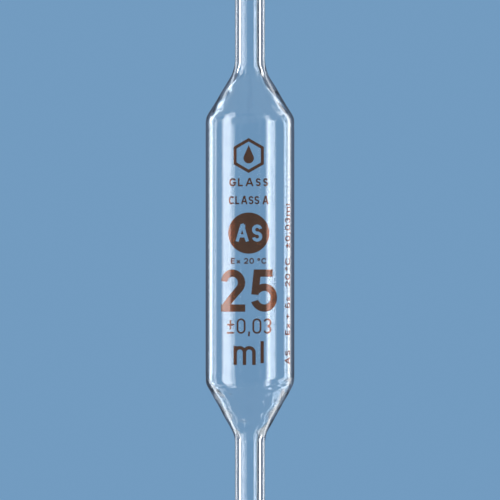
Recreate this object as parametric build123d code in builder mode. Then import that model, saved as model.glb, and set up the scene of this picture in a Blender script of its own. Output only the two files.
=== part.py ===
"""A one-mark volumetric pipette of 25 ml, from the jet at the bottom to the mouth at the top.

The glass is drawn and fused from five lengths of tube and a drawn jet, which meet face to face at
their welds.  Every marking is a thin fired film that lies on the glass.

Frame: millimetres, +Z up along the pipette's axis, origin at the centre of the jet's end face.
The printed legend faces -Y.
"""

import os
from math import asin, atan2, copysign, cos, degrees, pi, radians, sin, sqrt, tan

from build123d import *

# ---------------------------------------------------------------- driving sizes, in millimetres
nominal_volume = 25_000.0  # held between the ring mark and the jet's end, in cubic millimetres
overall_length = 520.0

bulb_diameter = 21.0
bulb_wall = 0.9
suction_diameter = 7.1
suction_bore = 4.4
delivery_diameter = 7.1
delivery_bore = 4.4

delivery_length = 218.0  # jet's end to the corner where the lower shoulder starts to flare
ring_above_bulb = 55.0  # corner where the upper shoulder ends to the ring mark

upper_cone_angle = 31.0  # between the cone and the axis, in degrees
lower_cone_angle = 29.0
upper_neck_bend = 9.0  # radius of the bend between tube and cone
lower_neck_bend = 6.5
bulb_bend = 4.2  # radius of the bend between cone and barrel
weld_allowance = 0.8  # straight glass left on a shoulder beyond its bends, up to the weld

mouth_rounding = 0.42  # fire-polished mouth, as a share of the wall

jet_length = 30.0
jet_end_diameter = 2.6
jet_orifice = 0.9
orifice_length = 3.0
jet_lower_bend = 8.0  # radius where the orifice opens into the taper
jet_upper_bend = 40.0  # radius where the taper meets the delivery tube
jet_shoulder = 4.0  # straight tube between the taper's upper corner and the weld
jet_bevel = 0.25  # ground edge round the jet's end

film_thickness = 0.05  # fired stain or enamel
ring_mark_height = 0.5
code_band_height = 4.0
code_band_below_mouth = 22.0

legend_margin = 2.6  # clear glass above and below the legend
legend_reach = 0.7  # widest front line, as half its arc over the bulb's radius
side_legend_angle = 59.5  # round the bulb from the front, in degrees

# ---------------------------------------------------------------- radii and cone heights
bulb_radius = bulb_diameter / 2
bulb_bore_radius = bulb_radius - bulb_wall
suction_radius = suction_diameter / 2
suction_bore_radius = suction_bore / 2
delivery_radius = delivery_diameter / 2
delivery_bore_radius = delivery_bore / 2

upper_cone_height = (bulb_radius - suction_radius) / tan(radians(upper_cone_angle))
lower_cone_height = (bulb_radius - delivery_radius) / tan(radians(lower_cone_angle))


def straight_for(bend, cone_angle):
    """Straight run that a tangent bend takes up, with the glass left beyond it."""
    return bend * tan(radians(cone_angle) / 2) + weld_allowance


upper_neck_straight = straight_for(upper_neck_bend, upper_cone_angle)
upper_bulb_straight = straight_for(bulb_bend, upper_cone_angle)
lower_neck_straight = straight_for(lower_neck_bend, lower_cone_angle)
lower_bulb_straight = straight_for(bulb_bend, lower_cone_angle)


# ---------------------------------------------------------------- half profiles of the glass
def flare(neck_z, rise, neck_radius, wide_radius, straights, bends):
    """Half profile of a shoulder: along the tube, out along the cone and into the barrel."""
    towards_bulb = copysign(1, rise)
    neck_straight, bulb_straight = straights
    return FilletPolyline(
        (neck_radius, neck_z - towards_bulb * neck_straight),
        (neck_radius, neck_z),
        (wide_radius, neck_z + rise),
        (wide_radius, neck_z + rise + towards_bulb * bulb_straight),
        radius=bends,
    )


def upper_flare(neck_z, neck_radius, wide_radius):
    """Half profile of the upper shoulder, drawn down from its neck."""
    straights = (upper_neck_straight, upper_bulb_straight)
    bends = [upper_neck_bend, bulb_bend]
    return flare(neck_z, -upper_cone_height, neck_radius, wide_radius, straights, bends)


def lower_flare(neck_z, neck_radius, wide_radius):
    """Half profile of the lower shoulder, drawn up from its neck."""
    straights = (lower_neck_straight, lower_bulb_straight)
    bends = [lower_neck_bend, bulb_bend]
    return flare(neck_z, lower_cone_height, neck_radius, wide_radius, straights, bends)


def jet_taper(end_radius, end_straight, tube_radius):
    """Half profile of the drawn jet, from its end up to the delivery tube."""
    return FilletPolyline(
        (end_radius, 0),
        (end_radius, end_straight),
        (tube_radius, jet_length - jet_shoulder),
        (tube_radius, jet_length),
        radius=[jet_lower_bend, jet_upper_bend],
    )


def volume_inside(draw_profile, *sizes):
    """Volume that a half profile encloses when it turns about the axis."""
    with BuildPart() as core:
        with BuildSketch(Plane.XZ):
            with BuildLine():
                inner = draw_profile(*sizes)
                Polyline(inner @ 0, (0, (inner @ 0).Y), (0, (inner @ 1).Y), inner @ 1)
            make_face()
        revolve(axis=Axis.Z)
    return core.part.volume


# ---------------------------------------------------------------- heights
# The barrel is as long as it takes to hold the nominal volume up to the ring mark.
delivery_bottom = jet_length
delivery_top = delivery_length - lower_neck_straight
delivery_tube_volume = pi * delivery_bore_radius**2 * (delivery_top - delivery_bottom)
suction_volume = pi * suction_bore_radius**2 * (ring_above_bulb - upper_neck_straight)
volume_without_barrel = (
    volume_inside(jet_taper, jet_orifice / 2, orifice_length, delivery_bore_radius)
    + delivery_tube_volume
    + volume_inside(lower_flare, 0, delivery_bore_radius, bulb_bore_radius)
    + volume_inside(upper_flare, 0, suction_bore_radius, bulb_bore_radius)
    + suction_volume
)
barrel_length = (nominal_volume - volume_without_barrel) / (pi * bulb_bore_radius**2)

barrel_bottom = delivery_length + lower_cone_height + lower_bulb_straight
barrel_top = barrel_bottom + barrel_length
upper_neck_z = barrel_top + upper_bulb_straight + upper_cone_height
suction_bottom = upper_neck_z + upper_neck_straight
ring_mark_z = upper_neck_z + ring_above_bulb
code_band_z = overall_length - code_band_below_mouth

# ================================================================ glass
with BuildPart() as suction_tube:
    with BuildSketch(Plane.XY.offset(suction_bottom)):
        Circle(suction_radius)
        Circle(suction_bore_radius, mode=Mode.SUBTRACT)
    extrude(amount=overall_length - suction_bottom)
    mouth = suction_tube.faces().sort_by(Axis.Z)[-1]
    fillet(mouth.edges(), radius=mouth_rounding * (suction_radius - suction_bore_radius))

with BuildPart() as upper_shoulder:
    with BuildSketch(Plane.XZ):
        with BuildLine():
            outer = upper_flare(upper_neck_z, suction_radius, bulb_radius)
            inner = upper_flare(upper_neck_z, suction_bore_radius, bulb_bore_radius)
            Line(outer @ 0, inner @ 0)
            Line(outer @ 1, inner @ 1)
        make_face()
    revolve(axis=Axis.Z)

with BuildPart() as bulb_barrel:
    with BuildSketch(Plane.XY.offset(barrel_bottom)):
        Circle(bulb_radius)
        Circle(bulb_bore_radius, mode=Mode.SUBTRACT)
    extrude(amount=barrel_length)

with BuildPart() as lower_shoulder:
    with BuildSketch(Plane.XZ):
        with BuildLine():
            outer = lower_flare(delivery_length, delivery_radius, bulb_radius)
            inner = lower_flare(delivery_length, delivery_bore_radius, bulb_bore_radius)
            Line(outer @ 0, inner @ 0)
            Line(outer @ 1, inner @ 1)
        make_face()
    revolve(axis=Axis.Z)

with BuildPart() as delivery_tube:
    with BuildSketch(Plane.XY.offset(delivery_bottom)):
        Circle(delivery_radius)
        Circle(delivery_bore_radius, mode=Mode.SUBTRACT)
    extrude(amount=delivery_top - delivery_bottom)

with BuildPart() as jet_tip:
    with BuildSketch(Plane.XZ):
        with BuildLine():
            outer = jet_taper(jet_end_diameter / 2, orifice_length, delivery_radius)
            inner = jet_taper(jet_orifice / 2, orifice_length, delivery_bore_radius)
            Line(outer @ 0, inner @ 0)
            Line(outer @ 1, inner @ 1)
        make_face()
    revolve(axis=Axis.Z)
    jet_rim = jet_tip.faces().sort_by(Axis.Z)[0].edges().sort_by(SortBy.RADIUS)[-1]
    chamfer(jet_rim, length=jet_bevel)


# ================================================================ lettering
# A letter is a few strokes of one pen width.  Its origin is the middle of its baseline; half is
# half its width and height its full height, both over the ink.
def pen_arc(centre_x, centre_y, radius, start, turn):
    """Arc of a pen stroke; a negative turn goes clockwise."""
    return CenterArc((centre_x, centre_y), radius, start, turn)


def loop_letter(half, height, pen):
    """0: an upright oval ring with straight sides."""
    with Locations((0, height / 2)):
        SlotOverall(height, 2 * half, rotation=90)
        SlotOverall(height - 2 * pen, 2 * (half - pen), rotation=90, mode=Mode.SUBTRACT)


def degree_sign(half, height, pen):
    """A small ring at the height of the capitals."""
    with Locations((0, height - half)):
        Circle(half)
        Circle(half - pen, mode=Mode.SUBTRACT)


def straight_strokes(*strokes):
    """Makes a letter of straight strokes, each a list of points in halves and heights."""

    def draw(half, height, pen):
        across, up = half - pen / 2, height - pen
        for stroke in strokes:
            with BuildLine() as line:
                Polyline([(x * across, pen / 2 + y * up) for x, y in stroke])
            trace(line.line, line_width=pen)

    return draw


def open_bowl(half, height, pen):
    """C: two end arcs joined by a straight back."""
    r = half - pen / 2
    low, high = pen / 2 + r, height - pen / 2 - r
    with BuildLine() as line:
        pen_arc(0, high, r, 28, 152)
        Line((-r, high), (-r, low))
        pen_arc(0, low, r, 180, 152)
    trace(line.line, line_width=pen)


def barred_bowl(half, height, pen):
    """G: the C with a bar that turns in from its lower end."""
    open_bowl(half, height, pen)
    r = half - pen / 2
    bar_z = height * 0.45
    with BuildLine() as line:
        Polyline((0, bar_z), (r, bar_z), (r, pen / 2 + r * 0.6))
    trace(line.line, line_width=pen)


def double_curve(half, height, pen):
    """S: an upper bowl open to the right that runs into a lower one open to the left."""
    r = (height - pen) / 4
    with BuildLine() as line:
        pen_arc(0, height - pen / 2 - r, r, 15, 255)
        pen_arc(0, pen / 2 + r, r, 90, -255)
    trace(line.line, line_width=pen)


def figure_two(half, height, pen):
    """2: a bowl, the straight that leaves it at a tangent to the lower left, and a foot."""
    r = half - pen / 2
    centre_y = height - pen / 2 - r
    foot_x, foot_y = -r, pen / 2
    rise = atan2(centre_y - foot_y, -foot_x)
    reach = sqrt(foot_x**2 + (centre_y - foot_y) ** 2)
    slope = rise - asin(r / reach)
    leaving = degrees(slope) - 90
    with BuildLine() as line:
        bowl = pen_arc(0, centre_y, r, 172, leaving - 172)
        Line(bowl @ 1, (foot_x, foot_y))
    trace(line.line, line_width=pen)
    with Locations((0, foot_y)):
        Rectangle(2 * half, pen)


def figure_three(half, height, pen):
    """3: two bowls open to the left that meet in the middle."""
    r = (height - pen) / 4
    for centre_y, start in ((height - pen / 2 - r, 160), (pen / 2 + r, 90)):
        with BuildLine() as line:
            pen_arc(0, centre_y, r, start, -250)
        trace(line.line, line_width=pen)


def figure_five(half, height, pen):
    """5: a top bar with a stem that leans in, and a bowl that starts inside the stem's foot."""
    r = half - pen / 2
    top = height - pen / 2
    start = 148
    foot_x, foot_y = r * cos(radians(start)), pen / 2 + r + r * sin(radians(start))
    with BuildLine() as line:
        Polyline((r * 0.86, top), (-r * 0.72, top), (foot_x - pen * 0.12, foot_y - pen * 0.35))
    trace(line.line, line_width=pen)
    with BuildLine() as line:
        pen_arc(0, pen / 2 + r, r, start - 8, 18 - start - 172)
    trace(line.line, line_width=pen)


def small_m(half, height, pen):
    """m: a stem and two arches."""
    r = (half - pen / 2) / 2
    left = pen / 2 - half
    spring = height - pen / 2 - r
    with BuildLine() as line:
        Line((left, 0), (left, height))
    trace(line.line, line_width=pen)
    for arch_left in (left, left + 2 * r):
        with BuildLine() as line:
            pen_arc(arch_left + r, spring, r, 165, -165)
            Line((arch_left + 2 * r, spring), (arch_left + 2 * r, 0))
        trace(line.line, line_width=pen)


LETTERS = {
    "A": straight_strokes([(-1, -0.1), (-0.12, 1), (0.12, 1), (1, -0.1)], [(-0.65, 0.3), (0.65, 0.3)]),
    "C": open_bowl,
    "E": straight_strokes([(1, 1), (-1, 1), (-1, 0), (1, 0)], [(-1, 0.5), (0.8, 0.5)]),
    "G": barred_bowl,
    "L": straight_strokes([(-1, 1.1), (-1, 0), (1, 0)]),
    "S": double_curve,
    "s": double_curve,
    "x": straight_strokes([(-1, 0), (1, 1)], [(-1, 1), (1, 0)]),
    "l": straight_strokes([(0, 0), (0, 1)]),
    "m": small_m,
    "0": loop_letter,
    "2": figure_two,
    "3": figure_three,
    "5": figure_five,
    "+": straight_strokes([(-1, 0.5), (1, 0.5)], [(0, 0.2), (0, 0.8)]),
    "±": straight_strokes([(-1, 0.6), (1, 0.6)], [(0, 0.25), (0, 0.95)], [(-1, 0), (1, 0)]),
    ",": straight_strokes([(-0.2, -0.25), (0.3, 0.1)]),
    "°": degree_sign,
}

# Half widths over capital height, for a pen of no width.
HALF_WIDTHS = {
    "A": 0.40, "C": 0.33, "E": 0.26, "G": 0.35, "L": 0.25, "S": 0.25, "s": 0.18, "x": 0.24,
    "l": 0.0, "m": 0.46, "0": 0.25, "2": 0.23, "3": 0.25, "5": 0.25, "+": 0.25, "±": 0.27,
    ",": 0.05, "°": 0.13, " ": 0.08,
}
SMALL_LETTERS = {"m": 0.74, "x": 0.72, "s": 0.72}  # heights over capital height


def set_line(text, capital, pen, gap, width):
    """Sets a line of letters to a width: each with its place along the line, half width and height."""
    inked = len(text.replace(" ", ""))
    skeleton = sum(2 * HALF_WIDTHS[letter] * capital for letter in text)
    stretch = (width - inked * pen - (len(text) - 1) * gap) / skeleton
    placed, along = [], -width / 2
    for letter in text:
        half = stretch * HALF_WIDTHS[letter] * capital + (pen / 2 if letter != " " else 0)
        if letter != " ":
            placed.append((letter, along + half, half, capital * SMALL_LETTERS.get(letter, 1)))
        along += 2 * half + gap
    return placed


# ================================================================ legend
# Lines from the top down: name, text, capital height, pen width, gap between letters, width, and
# the height of the line's middle above the middle of the barrel, before the legend is scaled.
LINES = (
    ("material_word", "GLASS", 1.92, 0.38, 0.42, 9.4, 16.05),
    ("class_word", "CLASS A", 1.92, 0.35, 0.26, 9.6, 11.85),
    ("temperature_mark", "Ex 20 °C", 1.37, 0.27, 0.27, 8.6, -2.35),
    ("capacity_number", "25", 9.9, 1.72, 1.3, 14.1, -9.3),
    ("tolerance_mark", "±0,03", 3.6, 0.42, 0.42, 11.1, -17.6),
    ("unit_mark", "ml", 6.0, 0.82, 1.15, 7.2, -23.7),
)
# Words of the line up the side, from the bottom: text, width and height of the word's middle.
SIDE_WORDS = (
    ("AS", 3.3, -25.05),
    ("Ex", 2.7, -18.4),
    ("+", 1.4, -15.4),
    ("5s", 2.7, -12.15),
    ("20", 3.0, -6.9),
    ("°C", 3.0, -3.1),
    ("±0,03ml", 10.5, 5.75),
)
side_capital, side_pen, side_gap = 2.1, 0.3, 0.36
LEGEND_HEIGHT = 53.4
WIDEST_LINE = 14.5
emblem_rise, emblem_height, emblem_pen = 22.3, 8.2, 0.72
badge_rise, badge_diameter = 4.15, 9.65
badge_capital, badge_pen, badge_gap, badge_width = 4.0, 0.75, 0.8, 6.2

barrel_middle = (barrel_bottom + barrel_top) / 2
legend_scale = min(
    (barrel_length - 2 * legend_margin) / LEGEND_HEIGHT,
    2 * legend_reach * bulb_radius / WIDEST_LINE,
)


def tangent_plane(arc, height, reads_up=False):
    """Plane that touches the bulb at an arc length round from the front, seen from outside."""
    angle = arc / bulb_radius
    outwards = Vector(sin(angle), -cos(angle), 0)
    reading = Vector(0, 0, 1) if reads_up else Vector(cos(angle), sin(angle), 0)
    return Plane(outwards * bulb_radius + Vector(0, 0, height), x_dir=reading, z_dir=outwards)


def scaled(*sizes):
    """Sizes of the legend at its scale."""
    return [size * legend_scale for size in sizes]


def film_ring(radius, bottom, height):
    """A thin ring of film on a cylinder of glass."""
    with BuildSketch(Plane.XY.offset(bottom)) as ring:
        Circle(radius + film_thickness)
        Circle(radius, mode=Mode.SUBTRACT)
    extrude(ring.sketch, amount=height)


with BuildPart() as barrel_film:
    film_ring(bulb_radius, barrel_bottom, barrel_length)

print_reach = bulb_radius * 0.3  # how far a letter is carried either side of its tangent plane


def keep_film():
    """Carries the sketched letters through the glass's surface and keeps what lies in the film."""
    extrude(amount=print_reach, both=True)
    add(barrel_film.part, mode=Mode.INTERSECT)


legend = {}
for name, text, *sizes in LINES:
    capital, pen, gap, width, rise = scaled(*sizes)
    with BuildPart() as film:
        for letter, along, half, height in set_line(text, capital, pen, gap, width):
            with BuildSketch(tangent_plane(along, barrel_middle + rise - capital / 2)):
                LETTERS[letter](half, height, pen)
        keep_film()
    legend[name] = film.part

with BuildPart() as side_film:
    capital, pen, gap = scaled(side_capital, side_pen, side_gap)
    baseline = radians(side_legend_angle) * bulb_radius + capital / 2
    for text, *sizes in SIDE_WORDS:
        width, rise = scaled(*sizes)
        for letter, along, half, height in set_line(text, capital, pen, gap, width):
            with BuildSketch(tangent_plane(baseline, barrel_middle + rise + along, reads_up=True)):
                LETTERS[letter](half, height, pen)
    keep_film()
legend["side_legend"] = side_film.part

with BuildPart() as emblem:
    rise, across, line = scaled(emblem_rise, emblem_height, emblem_pen)
    with BuildSketch(tangent_plane(0, barrel_middle + rise)):
        corner = across / 2
        RegularPolygon(corner, 6, rotation=30)
        RegularPolygon(corner - line / cos(pi / 6), 6, rotation=30, mode=Mode.SUBTRACT)
        drop = corner * 0.3
        with BuildLine():
            half_drop = pen_arc(0, -drop / 2, drop, -90, 120)
            Line(half_drop @ 1, (0, 2 * drop))
            mirror(about=Plane.YZ)
        make_face()
    keep_film()
legend["emblem"] = emblem.part

badge_letters = []
capital, pen, gap, width = scaled(badge_capital, badge_pen, badge_gap, badge_width)
for letter, along, half, height in set_line("AS", capital, pen, gap, width):
    with BuildSketch() as badge_letter:
        LETTERS[letter](half, height, pen)
    badge_letters.append(Pos(along, -height / 2) * badge_letter.sketch)

with BuildPart() as class_badge:
    rise, across = scaled(badge_rise, badge_diameter)
    with BuildSketch(tangent_plane(0, barrel_middle + rise)):
        Circle(across / 2)
        add(badge_letters, mode=Mode.SUBTRACT)
    keep_film()
legend["class_badge"] = class_badge.part

with BuildPart() as ring_mark:
    film_ring(suction_radius, ring_mark_z - ring_mark_height / 2, ring_mark_height)

with BuildPart() as colour_code_band:
    film_ring(suction_radius, code_band_z - code_band_height / 2, code_band_height)

# ================================================================ named pieces
pieces = {
    "suction_tube": suction_tube.part,
    "upper_shoulder": upper_shoulder.part,
    "bulb_barrel": bulb_barrel.part,
    "lower_shoulder": lower_shoulder.part,
    "delivery_tube": delivery_tube.part,
    "jet_tip": jet_tip.part,
    "ring_mark": ring_mark.part,
    "colour_code_band": colour_code_band.part,
    **legend,
}

os.makedirs("parts", exist_ok=True)
for name, part in pieces.items():
    part.label = name
    export_step(part, f"parts/{name}.step")

print("barrel", round(barrel_length, 2), "from", round(barrel_bottom, 2), "to", round(barrel_top, 2))
print("upper neck", round(upper_neck_z, 2), "ring mark", round(ring_mark_z, 2))
print("legend scale", round(legend_scale, 3), "weld heights", delivery_bottom,
      round(delivery_top, 2), round(suction_bottom, 2))
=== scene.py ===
from math import cos, degrees, pi, radians, sin, tan

import bpy
import numpy as np
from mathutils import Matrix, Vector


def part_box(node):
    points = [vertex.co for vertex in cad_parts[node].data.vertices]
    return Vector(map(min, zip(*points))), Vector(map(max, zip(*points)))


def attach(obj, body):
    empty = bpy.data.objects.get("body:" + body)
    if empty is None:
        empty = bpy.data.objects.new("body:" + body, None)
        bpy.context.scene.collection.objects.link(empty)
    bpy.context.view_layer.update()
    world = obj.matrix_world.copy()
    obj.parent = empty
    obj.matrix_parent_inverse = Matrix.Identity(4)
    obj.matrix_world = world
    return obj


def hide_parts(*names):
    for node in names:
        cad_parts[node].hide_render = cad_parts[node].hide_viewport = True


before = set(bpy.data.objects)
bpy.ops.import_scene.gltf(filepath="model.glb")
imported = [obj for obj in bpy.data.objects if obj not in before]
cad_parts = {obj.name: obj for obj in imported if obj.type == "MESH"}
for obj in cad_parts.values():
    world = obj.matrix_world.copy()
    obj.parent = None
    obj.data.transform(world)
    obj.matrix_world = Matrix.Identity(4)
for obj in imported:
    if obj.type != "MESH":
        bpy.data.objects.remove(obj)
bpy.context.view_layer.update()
MM = 0.001

# ---------------------------------------------------------------- sizes, in metres
BULB_WALL = 0.9 * MM
BORE_RADIUS = 2.2 * MM
UPPER_CONE = radians(31.0)
LOWER_CONE = radians(29.0)
UPPER_NECK_BEND = 9.0 * MM
LOWER_NECK_BEND = 6.5 * MM
BULB_BEND = 4.2 * MM
WELD_ALLOWANCE = 0.8 * MM
MOUTH_ROUNDING = 0.42  # of the wall
JET_END_RADIUS = 1.3 * MM
JET_ORIFICE_RADIUS = 0.45 * MM
ORIFICE_LENGTH = 3.0 * MM
JET_LOWER_BEND = 8.0 * MM
JET_UPPER_BEND = 40.0 * MM
JET_SHOULDER = 4.0 * MM
JET_BEVEL = 0.25 * MM
FILM_THICKNESS = 0.05 * MM  # fired stain or enamel
AROUND = 192  # steps round the pipette
BEND_STEPS = 14  # points round each bend of the outline


def node_z(name):
    """Lowest and highest point of a CAD node."""
    low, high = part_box(name)
    return low.z, high.z


def node_radius(name):
    """Outer radius of a round CAD node."""
    low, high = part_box(name)
    return (high.x - low.x) / 2


bulb_radius = node_radius("bulb_barrel")
tube_radius = node_radius("suction_tube")
bulb_bore_radius = bulb_radius - BULB_WALL
mouth_z = node_z("suction_tube")[1]
barrel_low, barrel_high = node_z("bulb_barrel")
upper_neck_z = node_z("upper_shoulder")[1] - WELD_ALLOWANCE - UPPER_NECK_BEND * tan(UPPER_CONE / 2)
lower_neck_z = node_z("lower_shoulder")[0] + WELD_ALLOWANCE + LOWER_NECK_BEND * tan(LOWER_CONE / 2)
jet_top = node_z("jet_tip")[1]
upper_rise = (bulb_radius - tube_radius) / tan(UPPER_CONE)
lower_rise = (bulb_radius - tube_radius) / tan(LOWER_CONE)
bulb_middle = (barrel_low + barrel_high) / 2


# ---------------------------------------------------------------- surfaces
def rounded_line(corners, bends, steps):
    """A line through corners with each inner one rounded.

    At each corner the arc of the given radius touches both runs; it is sampled at even angles.
    """
    corners = np.asarray(corners, float)
    points = [corners[0]]
    for before, corner, after, bend in zip(corners, corners[1:], corners[2:], bends):
        a = (before - corner) / np.linalg.norm(before - corner)
        b = (after - corner) / np.linalg.norm(after - corner)
        half = np.arccos(np.clip(a @ b, -1, 1)) / 2
        middle = (a + b) / np.linalg.norm(a + b)
        centre = corner + middle * bend / np.sin(half)
        start = corner + a * bend / np.tan(half) - centre
        end = corner + b * bend / np.tan(half) - centre
        turn = np.arctan2(start[0] * end[1] - start[1] * end[0], start @ end)
        t = np.linspace(0, turn, steps)[:, None]
        side = np.array([-start[1], start[0]])
        points.extend(centre + start * np.cos(t) + side * np.sin(t))
    points.append(corners[-1])
    return np.array(points)


def refined(profile, step, wanted):
    """The profile with its runs divided evenly by step, keeping the new points whose height is wanted."""
    out = [profile[:1]]
    for a, b in zip(profile, profile[1:]):
        n = max(1, int(np.ceil(np.linalg.norm(b - a) / step)))
        points = a + (b - a) * np.linspace(0, 1, n + 1)[1:, None]
        corner = np.arange(n) == n - 1
        out.append(points[wanted(points[:, 1]) | corner])
    return np.concatenate(out)


def mesh_object(name, verts, faces, smooth=True):
    """A mesh object from arrays of vertices and quads."""
    mesh = bpy.data.meshes.new(name)
    mesh.vertices.add(len(verts))
    mesh.vertices.foreach_set("co", verts.astype(np.float32).ravel())
    mesh.loops.add(faces.size)
    mesh.loops.foreach_set("vertex_index", faces.astype(np.int32).ravel())
    mesh.polygons.add(len(faces))
    mesh.polygons.foreach_set("loop_start", np.arange(0, faces.size, faces.shape[1], dtype=np.int32))
    mesh.polygons.foreach_set("use_smooth", np.full(len(faces), smooth))
    mesh.update(calc_edges=True)
    mesh.validate()
    obj = bpy.data.objects.new(name, mesh)
    bpy.context.scene.collection.objects.link(obj)
    return obj


def lathe(name, profile, around=AROUND, worked=None):
    """A closed profile of (radius, height) points carried round the axis: x = r cos a, y = r sin a.

    worked(radius, height, angle) gives what is added to the radius.
    """
    angle = np.linspace(0, 2 * pi, around, endpoint=False)
    r, z, a = (np.broadcast_to(v, (len(profile), around)) for v in (profile[:, :1], profile[:, 1:], angle))
    if worked is not None:
        r = r + worked(r, z, a)
    verts = np.stack([r * np.cos(a), r * np.sin(a), z], -1).reshape(-1, 3)
    i, j = np.meshgrid(np.arange(len(profile)), np.arange(around), indexing="ij")
    i2, j2 = (i + 1) % len(profile), (j + 1) % around
    faces = np.stack([i * around + j, i * around + j2, i2 * around + j2, i2 * around + j], -1)
    return mesh_object(name, verts, faces.reshape(-1, 4))


# ---------------------------------------------------------------- the glass
INNER_NECK_BEND = 6.0 * MM
INNER_BULB_BEND = 5.0 * MM
SKIN_WAVE = 0.06 * MM  # how far the flame left the outside of a shoulder off its cone
BORE_WAVE = 0.1 * MM
WELD_WAVE = 0.04 * MM  # finer lumps in the ring where shoulder and barrel are fused
SHOULDER_REACH = 1.2 * MM  # how far the waves run on into barrel and tube
WELD_NEAR, WELD_FAR = 3.0 * MM, 5.0 * MM  # the fused ring's two edges, from the barrel's end
WELD_FADE = 2.2 * MM
WORKED_STEP = 0.6 * MM  # between rows of the mesh on a shoulder


def glass_corners():
    """Corners and bends of the wall's outline: up the outside from the jet, over the mouth, down the bore."""
    mouth = MOUTH_ROUNDING * (tube_radius - BORE_RADIUS)
    outside = [
        ((JET_END_RADIUS - JET_BEVEL, 0), None),
        ((JET_END_RADIUS, JET_BEVEL), JET_BEVEL / 4),
        ((JET_END_RADIUS, ORIFICE_LENGTH), JET_LOWER_BEND),
        ((tube_radius, jet_top - JET_SHOULDER), JET_UPPER_BEND),
        ((tube_radius, lower_neck_z), LOWER_NECK_BEND),
        ((bulb_radius, lower_neck_z + lower_rise), BULB_BEND),
        ((bulb_radius, upper_neck_z - upper_rise), BULB_BEND),
        ((tube_radius, upper_neck_z), UPPER_NECK_BEND),
        ((tube_radius, mouth_z), mouth),
    ]
    bore = [
        ((BORE_RADIUS, mouth_z), mouth),
        ((BORE_RADIUS, upper_neck_z), INNER_NECK_BEND),
        ((bulb_bore_radius, upper_neck_z - upper_rise), INNER_BULB_BEND),
        ((bulb_bore_radius, lower_neck_z + lower_rise), INNER_BULB_BEND),
        ((BORE_RADIUS, lower_neck_z), INNER_NECK_BEND),
        ((BORE_RADIUS, jet_top - JET_SHOULDER), JET_UPPER_BEND),
        ((JET_ORIFICE_RADIUS, ORIFICE_LENGTH), JET_LOWER_BEND),
        ((JET_ORIFICE_RADIUS, 0), None),
    ]
    corners = outside + bore
    return [c for c, _ in corners], [b for _, b in corners[1:-1]]


def near(z, low, high, soft):
    """1 between low and high, falling smoothly to 0 over soft on both sides."""
    t = np.clip((np.minimum(z - low, high - z) + soft) / soft, 0, 1)
    return t * t * (3 - 2 * t)


def bore_side(r, z):
    """1 on the bore's wall and 0 on the outside: whichever wall is nearer, on tube, cone, barrel or jet."""
    drop = np.maximum(lower_neck_z - z, z - upper_neck_z)
    cone = np.where(z > bulb_middle, tan(UPPER_CONE), tan(LOWER_CONE))
    outer = np.clip(tube_radius - drop * cone, tube_radius, bulb_radius)
    inner = np.clip(BORE_RADIUS - drop * cone, BORE_RADIUS, bulb_bore_radius)
    taper = (ORIFICE_LENGTH, jet_top - JET_SHOULDER)
    outer = np.where(z < jet_top, np.interp(z, taper, (JET_END_RADIUS, tube_radius)), outer)
    inner = np.where(z < jet_top, np.interp(z, taper, (JET_ORIFICE_RADIUS, BORE_RADIUS)), inner)
    return (np.abs(r - inner) < np.abs(r - outer)).astype(float)


def shoulders(z):
    """1 on both shoulders, falling to 0 a little way into the barrel and the tubes."""
    lower = near(z, lower_neck_z, barrel_low, SHOULDER_REACH)
    return lower + near(z, barrel_high, upper_neck_z, SHOULDER_REACH)


def flame_waves(r, z, a):
    """What glassblowing leaves on the shoulders: sums of sines of height and angle, out of step on the bore.

    No point is moved out past the barrel's own radius.
    """
    bore = bore_side(r, z)
    lower_weld = near(z, barrel_low - WELD_FAR, barrel_low - WELD_NEAR, WELD_FADE)
    upper_weld = near(z, barrel_high + WELD_NEAR, barrel_high + WELD_FAR, WELD_FADE)
    h, step = z / MM, 2.1 * bore
    broad = (
        0.5 * np.sin(1.05 * h + 2 * a + 0.6 + step)
        + 0.3 * np.sin(1.65 * h - 3 * a + 2.0 - step)
        + 0.2 * np.sin(0.6 * h + 5 * a + 4.0 + 2 * step)
    )
    fine = np.sin(3.4 * h + 7 * a + step) * np.sin(1.9 * h - 11 * a + 1.0)
    wave = shoulders(z) * broad * np.where(bore > 0, BORE_WAVE, SKIN_WAVE)
    wave = wave + (lower_weld + upper_weld) * fine * WELD_WAVE
    return np.minimum(wave, bulb_radius - r)


def mesh_points(mesh):
    """The vertices of a mesh as rows of x, y and z."""
    spots = np.zeros(len(mesh.vertices) * 3, np.float32)
    mesh.vertices.foreach_get("co", spots)
    return spots.reshape(-1, 3)


def make_glass_body():
    """The whole pipette as one turned wall, with an attribute that is 1 on its outside and 0 on its bore."""
    corners, bends = glass_corners()
    outline = refined(rounded_line(corners, bends, BEND_STEPS), WORKED_STEP, lambda z: shoulders(z) > 0)
    body = lathe("glass_body", outline, worked=flame_waves)
    x, y, z = mesh_points(body.data).T
    skin = body.data.attributes.new("skin", "FLOAT", "POINT")
    skin.data.foreach_set("value", 1 - bore_side(np.hypot(x, y), z))
    return body


glass_body = make_glass_body()


# ---------------------------------------------------------------- shader maths
class Wire:
    """A shader socket that Python's operators work on; each adds a Math node."""

    def __init__(self, tree, socket):
        self.tree, self.socket = tree, socket

    def math(self, operation, *others):
        node = self.tree.nodes.new("ShaderNodeMath")
        node.operation = operation
        for slot, value in zip(node.inputs, (self, *others)):
            if isinstance(value, Wire):
                self.tree.links.new(value.socket, slot)
            else:
                slot.default_value = value
        return Wire(self.tree, node.outputs[0])

    def __add__(self, other):
        return self.math("ADD", other)

    __radd__ = __add__

    def __sub__(self, other):
        return self.math("SUBTRACT", other)

    def __rsub__(self, other):
        return (self * -1) + other

    def __mul__(self, other):
        return self.math("MULTIPLY", other)

    __rmul__ = __mul__

    def __truediv__(self, other):
        return self.math("DIVIDE", other)

    def clamp(self):
        return self.math("MINIMUM", 1.0).math("MAXIMUM", 0.0)


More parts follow.
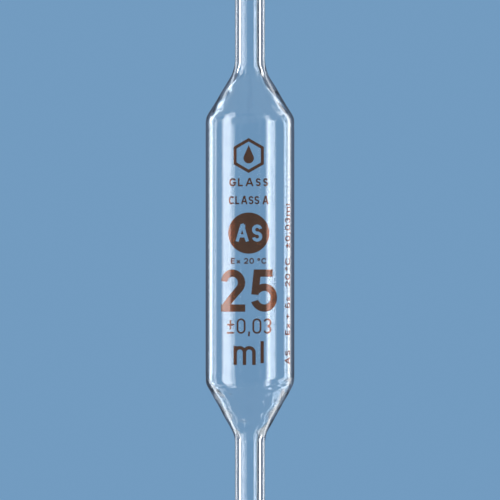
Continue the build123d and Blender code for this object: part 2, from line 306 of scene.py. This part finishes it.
class Shader:
    """A node tree with one way to add any node."""

    def __init__(self, owner):
        owner.use_nodes = True
        self.tree = owner.node_tree
        self.tree.nodes.clear()

    def node(self, kind, settings=None, output=0, **sockets):
        """Adds a node: its settings first, then its sockets by name or number, as values or wires."""
        made = self.tree.nodes.new(kind)
        for key, value in (settings or {}).items():
            setattr(made, key, value)
        for key, value in sockets.items():
            key = key.replace("_", " ")
            slot = made.inputs[int(key[1:])] if key[0] == "n" and key[1:].isdigit() else made.inputs[key]
            if isinstance(value, Wire):
                self.tree.links.new(value.socket, slot)
            else:
                slot.default_value = value
        return Wire(self.tree, made.outputs[output]) if made.outputs else None

    def position(self):
        return self.node("ShaderNodeTexCoord", output="Object")

    def parts(self, vector):
        """The three numbers of a vector."""
        split = self.node("ShaderNodeSeparateXYZ", Vector=vector).socket.node
        return [Wire(self.tree, out) for out in split.outputs]

    def path(self):
        """What kind of path the ray has taken, by output name."""
        made = self.tree.nodes.new("ShaderNodeLightPath")
        return {out.name: Wire(self.tree, out) for out in made.outputs}

    def mix(self, factor, a, b):
        """Mixes two colours."""
        return self.node("ShaderNodeMix", {"data_type": "RGBA"}, output=2, n0=factor, n6=a, n7=b)


def material(name):
    made = bpy.data.materials.new(name)
    return made, Shader(made)


EDGE_STARTS, EDGE_WIDTH = 0.62, 0.11  # where the painted edge shade starts and how wide its ramp is, of how far the skin turns away from the eye
# painted shade: the dark navy the outer skin is painted where it is seen edge-on
PAINTED_EDGE_SHADE = (0.05, 0.09, 0.15, 1)
LINE_STRETCH = 0.01  # drawing lines run along the tube


def clear_glass():
    """Clear glass: faint drawing lines along the tube, and painted shade: a dark navy edge painted on the
    outer skin where one looks along it, standing in for the dark room seen through the edge.
    """
    made, s = material("clear_glass")
    stretched = s.node("ShaderNodeMapping", Vector=s.position(), Scale=(1.0, 1.0, LINE_STRETCH))
    lines = s.node("ShaderNodeTexNoise", Vector=stretched, Scale=900.0, Detail=2.0, Roughness=0.5)
    cords = s.node("ShaderNodeBump", Strength=0.008, Distance=0.00002, Height=lines)
    skin = s.node("ShaderNodeAttribute", {"attribute_name": "skin"}, output="Fac")
    along = s.node("ShaderNodeLayerWeight", output="Facing", Blend=0.5)
    # painted shade: the outer skin's colour goes dark where it is seen edge-on, in place of the dark room
    # showing through
    edge = ((along - EDGE_STARTS) / EDGE_WIDTH).clamp() * skin
    tint = s.mix(lines, (0.945, 0.97, 0.982, 1), (0.965, 0.98, 0.988, 1))
    tint = s.mix(edge, tint, PAINTED_EDGE_SHADE)
    shader = s.node(
        "ShaderNodeBsdfPrincipled", Base_Color=tint, Roughness=0.0, IOR=1.5,
        Transmission_Weight=1.0, Normal=cords,
    )
    s.node("ShaderNodeOutputMaterial", Surface=shader)
    return made


def amber_stain():
    """Fired amber stain: a clear brown film under a glossy skin, a little uneven in depth."""
    made, s = material("amber_stain")
    depth = s.node("ShaderNodeTexNoise", Vector=s.position(), Scale=1400.0, Detail=3.0, Roughness=0.6)
    colour = s.mix(depth, (0.41, 0.11, 0.04, 1), (0.5, 0.15, 0.06, 1))
    shader = s.node(
        "ShaderNodeBsdfPrincipled", Base_Color=colour, Roughness=0.0, IOR=1.01,
        Transmission_Weight=1.0, Coat_Weight=1.0, Coat_Roughness=0.03, Coat_IOR=1.5,
    )
    s.node("ShaderNodeOutputMaterial", Surface=shader)
    return made


def blue_enamel():
    """Fired blue enamel, opaque and glossy with a slightly uneven screen print."""
    made, s = material("blue_enamel")
    cloud = s.node("ShaderNodeTexNoise", Vector=s.position(), Scale=900.0, Detail=4.0, Roughness=0.6)
    colour = s.mix(cloud, (0.012, 0.06, 0.34, 1), (0.03, 0.12, 0.52, 1))
    skin = s.node("ShaderNodeBump", Strength=0.15, Distance=0.00002, Height=cloud)
    shader = s.node(
        "ShaderNodeBsdfPrincipled", Base_Color=colour, Roughness=0.28 + 0.1 * cloud,
        Coat_Weight=0.6, Coat_Roughness=0.08, Normal=skin,
    )
    s.node("ShaderNodeOutputMaterial", Surface=shader)
    return made


glass, amber, blue = clear_glass(), amber_stain(), blue_enamel()

GLASS_NODES = ("suction_tube", "upper_shoulder", "bulb_barrel", "lower_shoulder", "delivery_tube", "jet_tip")
glass_body.data.materials.append(glass)
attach(glass_body, "root")
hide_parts(*GLASS_NODES)


# ---------------------------------------------------------------- fired markings
LIFT = 0.008 * MM  # between the glass and the film that stands for the stain
MERGE = 0.0002 * MM  # points of a film that are this near are one point
RINGS = ("ring_mark", "colour_code_band")  # films round the suction tube; the others are on the barrel


def film_copy(node, core_radius):
    """A merged copy of a CAD film with its two skins put back on exact cylinders.

    Points nearer the outer skin go to its radius and the others to just clear of the glass.
    """
    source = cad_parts[node].data
    points = mesh_points(source).astype(float)
    tri = np.zeros(len(source.loops), np.int32)
    source.loops.foreach_get("vertex_index", tri)
    cells = np.round(points / MERGE).astype(np.int64)
    _, first, back = np.unique(cells, axis=0, return_index=True, return_inverse=True)
    verts, tri = points[first], back.ravel()[tri].reshape(-1, 3)
    tri = tri[(tri[:, 0] != tri[:, 1]) & (tri[:, 1] != tri[:, 2]) & (tri[:, 2] != tri[:, 0])]
    r = np.hypot(verts[:, 0], verts[:, 1])
    outer = r > core_radius + FILM_THICKNESS / 2
    target = core_radius + np.where(outer, FILM_THICKNESS, LIFT)
    verts[:, :2] *= (target / r)[:, None]
    return mesh_object(node + "_print", verts, tri, smooth=False)


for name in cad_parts:
    if name in GLASS_NODES:
        continue
    film = film_copy(name, tube_radius if name in RINGS else bulb_radius)
    enamelled = name == "colour_code_band"
    film.data.materials.append(blue if enamelled else amber)
    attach(film, "root")
    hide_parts(name)

# ---------------------------------------------------------------- camera
LEGEND_TURN = radians(1.7)  # how far the legend is turned from the camera
CAMERA_DISTANCE = 1.2
CAMERA_RAISE = 0.2 * MM  # above the barrel's middle
VIEW_WIDTH = 118.25 * MM  # seen at the pipette
SENSOR = 36.0
camera_data = bpy.data.cameras.new("camera")
camera_data.sensor_width = SENSOR
camera_data.lens = SENSOR * CAMERA_DISTANCE / VIEW_WIDTH
camera = bpy.data.objects.new("camera", camera_data)
camera.location = (
    CAMERA_DISTANCE * sin(LEGEND_TURN),
    -CAMERA_DISTANCE * cos(LEGEND_TURN),
    bulb_middle + CAMERA_RAISE,
)
camera.rotation_euler = (pi / 2, 0, LEGEND_TURN)
bpy.context.scene.collection.objects.link(camera)
bpy.context.scene.camera = camera

# ---------------------------------------------------------------- studio
FLOOR_RADIUS = 1.2
FLOOR_FADE = 0.25  # radius where the floor starts to fade into the backdrop
FLOOR_DROP = 0.2 * MM  # below the jet's end
FLOOR_SIDES = 96


def pale_floor():
    """Pale matt paint that fades into the backdrop all round."""
    made, s = material("pale_floor")
    grain = s.node("ShaderNodeTexNoise", Vector=s.position(), Scale=40.0, Detail=3.0)
    tint = s.mix(grain, (0.62, 0.68, 0.73, 1), (0.68, 0.73, 0.78, 1))
    paint = s.node("ShaderNodeBsdfPrincipled", Base_Color=tint, Roughness=0.7)
    out = s.node("ShaderNodeVectorMath", {"operation": "LENGTH"}, output="Value", Vector=s.position())
    fade = ((out - FLOOR_FADE) / (FLOOR_RADIUS - FLOOR_FADE)).clamp().math("SMOOTH_MIN", 1.0, 0.2)
    faded = s.node("ShaderNodeMixShader", n0=fade, n1=paint, n2=s.node("ShaderNodeBsdfTransparent"))
    s.node("ShaderNodeOutputMaterial", Surface=faded)
    return made


def make_floor():
    """A disc: x = R cos a, y = R sin a."""
    a = np.linspace(0, 2 * pi, FLOOR_SIDES, endpoint=False)
    height = np.full(FLOOR_SIDES, -FLOOR_DROP)
    rim = np.stack([FLOOR_RADIUS * np.cos(a), FLOOR_RADIUS * np.sin(a), height], -1)
    disc = mesh_object("floor", rim, np.arange(FLOOR_SIDES)[None], smooth=False)
    disc.data.materials.append(pale_floor())
    disc.visible_glossy = False
    return disc


floor = make_floor()

BACKDROP = (0.17, 0.33, 0.53)
ROOM = (0.8, 0.8, 0.8)  # soft white light on everything that is not glass
CARD_TOP, CARD_FADE = 40.0, 4.0  # degrees up and down to the ends of the boxes and cards

# Soft boxes, seen only in reflections, so that no box shows white through the glass from another side:
# bearing of the middle from straight behind the pipette, width and soft edge in degrees, then the light.
SOFT_BOXES = (
    (-115, 26, 6, (6.5, 6.5, 6.5)),  # the big key box, left and in front
    (-54, 14, 8, (4.0, 4.5, 5.0)),  # its cool fill, left and behind
    (55, 14, 8, (3.5, 3.5, 3.5)),  # rim box, right and behind
    (130, 12, 6, (4.0, 4.0, 4.0)),  # narrow strip, right and in front
)
# Cards behind the pipette, seen through it: they give clear glass its bright and dark edges.
CARDS_BEHIND = (
    (-65, 14, 8, (1.0, 1.0, 1.0)),  # white card, left
    (30, 24, 8, (0.05, 0.05, 0.05)),  # black flag, right
    (65, 14, 8, (1.0, 1.0, 1.0)),  # white card, right
)
UNLIT = (0.15, 0.2, 0.28)  # the dim room between the boxes, as reflections show it


def rgba(light):
    """A colour as a socket takes it."""
    return (*light, 1)


def set_up(w, cards, between):
    """Cards of light standing round the pipette, over the colour that shows between them."""
    east, north, up = w.parts(w.node("ShaderNodeTexCoord", output="Generated"))
    bearing = east.math("ARCTAN2", north) * (180 / pi) + degrees(LEGEND_TURN)
    height = up.math("ARCSINE").math("ABSOLUTE") * (180 / pi)
    tall = ((CARD_TOP - height) / CARD_FADE + 0.5).clamp()
    light = rgba(between)
    for middle, width, soft, shine in cards:
        off = (bearing - middle).math("ABSOLUTE")
        across = ((width / 2 - off) / soft + 0.5).clamp()
        light = w.mix(across * tall, light, rgba(shine))
    return light


def studio():
    """The camera sees the backdrop, reflections the soft boxes, and rays that only pass through the cards."""
    world = bpy.data.worlds.new("studio")
    w = Shader(world)
    ray = w.path()
    boxes = set_up(w, SOFT_BOXES, UNLIT)
    reflected_inside = ray["Glossy Depth"].math("GREATER_THAN", 0.5)
    through = w.mix(reflected_inside, set_up(w, CARDS_BEHIND, BACKDROP), boxes)
    light = w.mix(ray["Is Glossy Ray"], rgba(ROOM), boxes)
    light = w.mix(ray["Is Transmission Ray"], light, through)
    light = w.mix(ray["Is Camera Ray"], light, rgba(BACKDROP))
    w.node("ShaderNodeOutputWorld", Surface=w.node("ShaderNodeBackground", Color=light, Strength=1.0))
    return world


bpy.context.scene.world = studio()
bpy.context.scene.view_settings.view_transform = "Standard"
